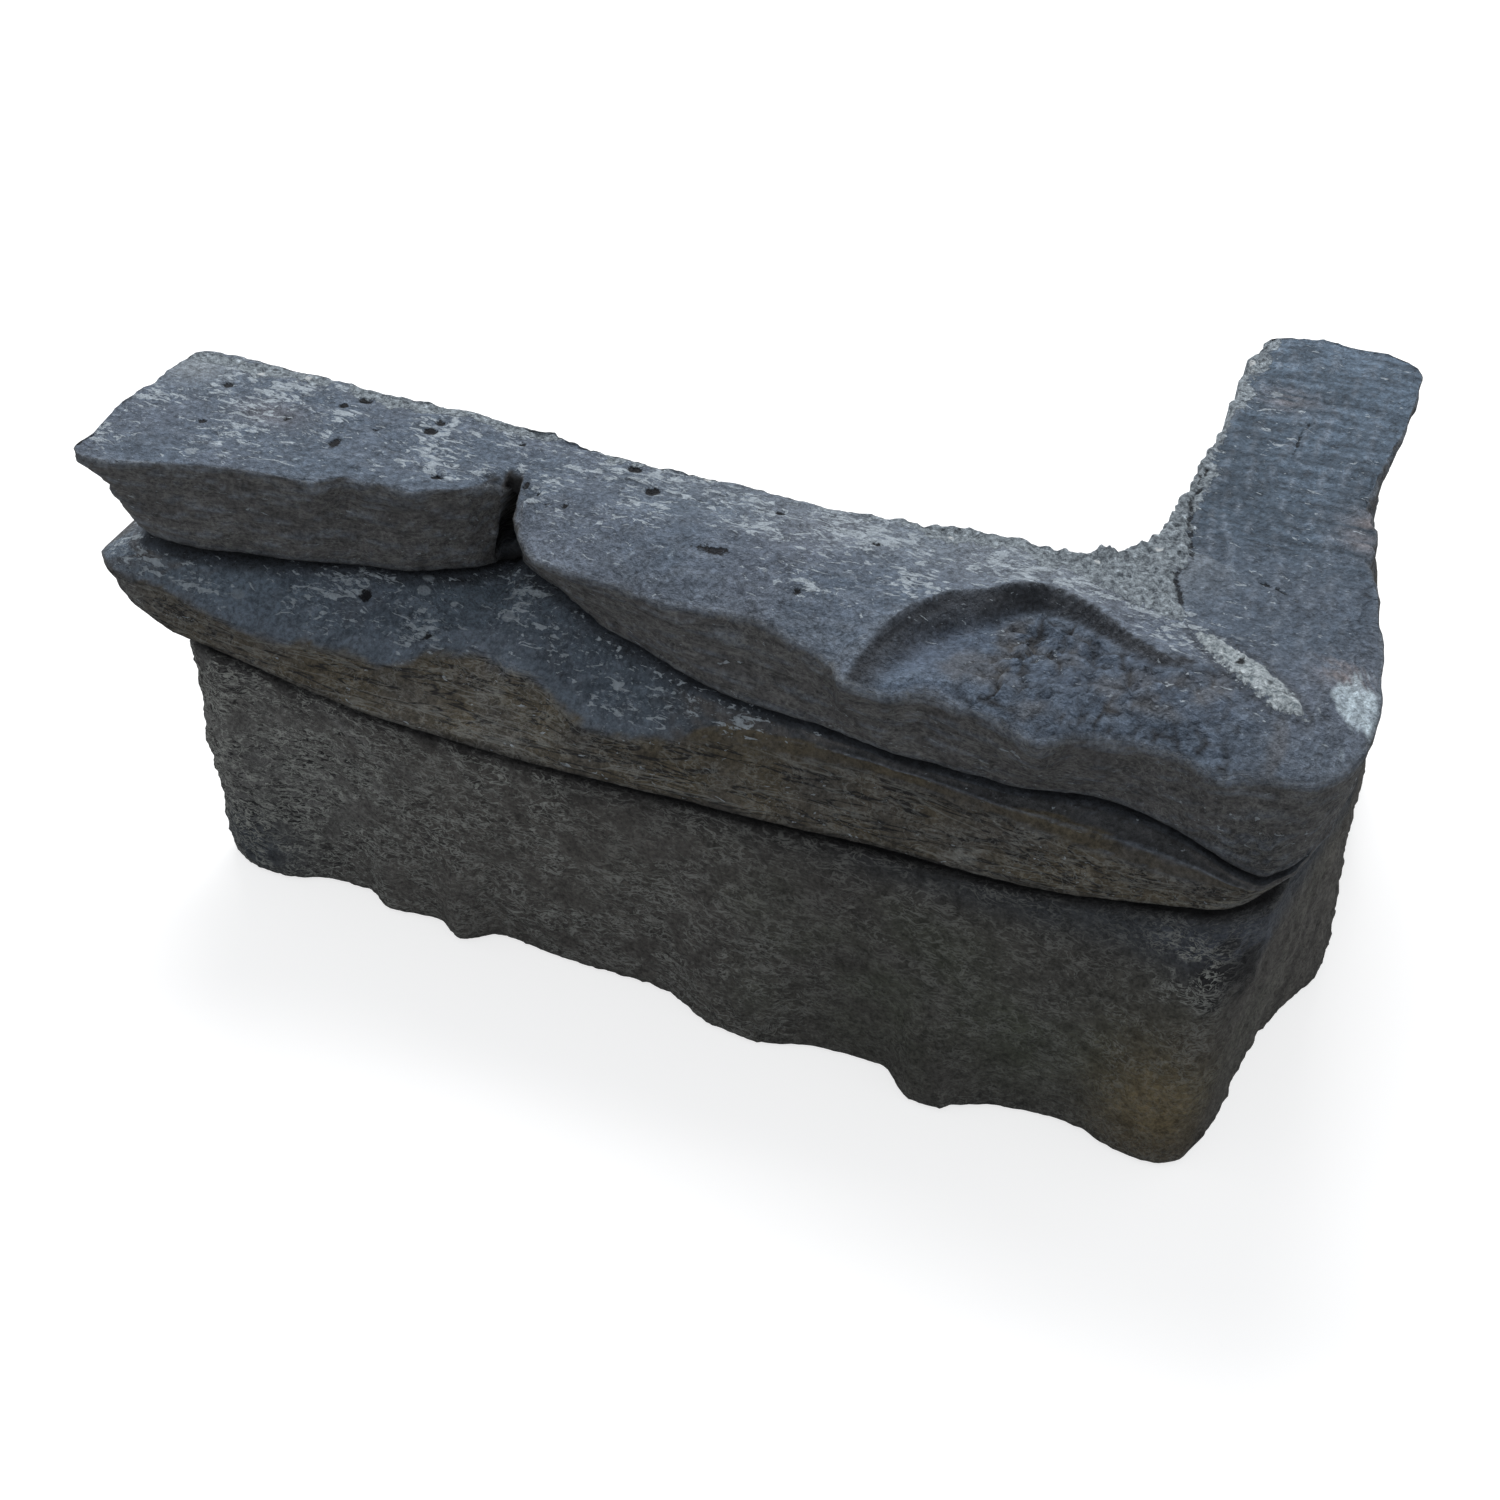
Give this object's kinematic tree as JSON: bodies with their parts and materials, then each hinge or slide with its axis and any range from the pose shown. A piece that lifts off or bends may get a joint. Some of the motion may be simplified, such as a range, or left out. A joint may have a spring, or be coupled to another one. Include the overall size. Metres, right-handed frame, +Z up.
{
  "type": "stone veneer corner",
  "caption": "L-shaped cast ledgestone veneer corner that wraps a wall's outside corner, with stacked rough courses and a proud ledge.",
  "frame": {"origin": "the wall's outside corner on the bed: where the two wall sides of the L meet the level the piece stands on", "axes": "+X from the wall corner out through the return's show face, with the long leg towards -X and its show face towards -Y; +Y along the return; +Z up from the bed"},
  "size_m": [0.3088, 0.1669, 0.127],
  "materials": {
    "cast_stone": "rough matt cast concrete, blue-grey on top and warm brown-grey on the show faces"
  },
  "bodies": {
    "root": {"veneer_corner": "cast_stone"}
  },
  "joints": []
}
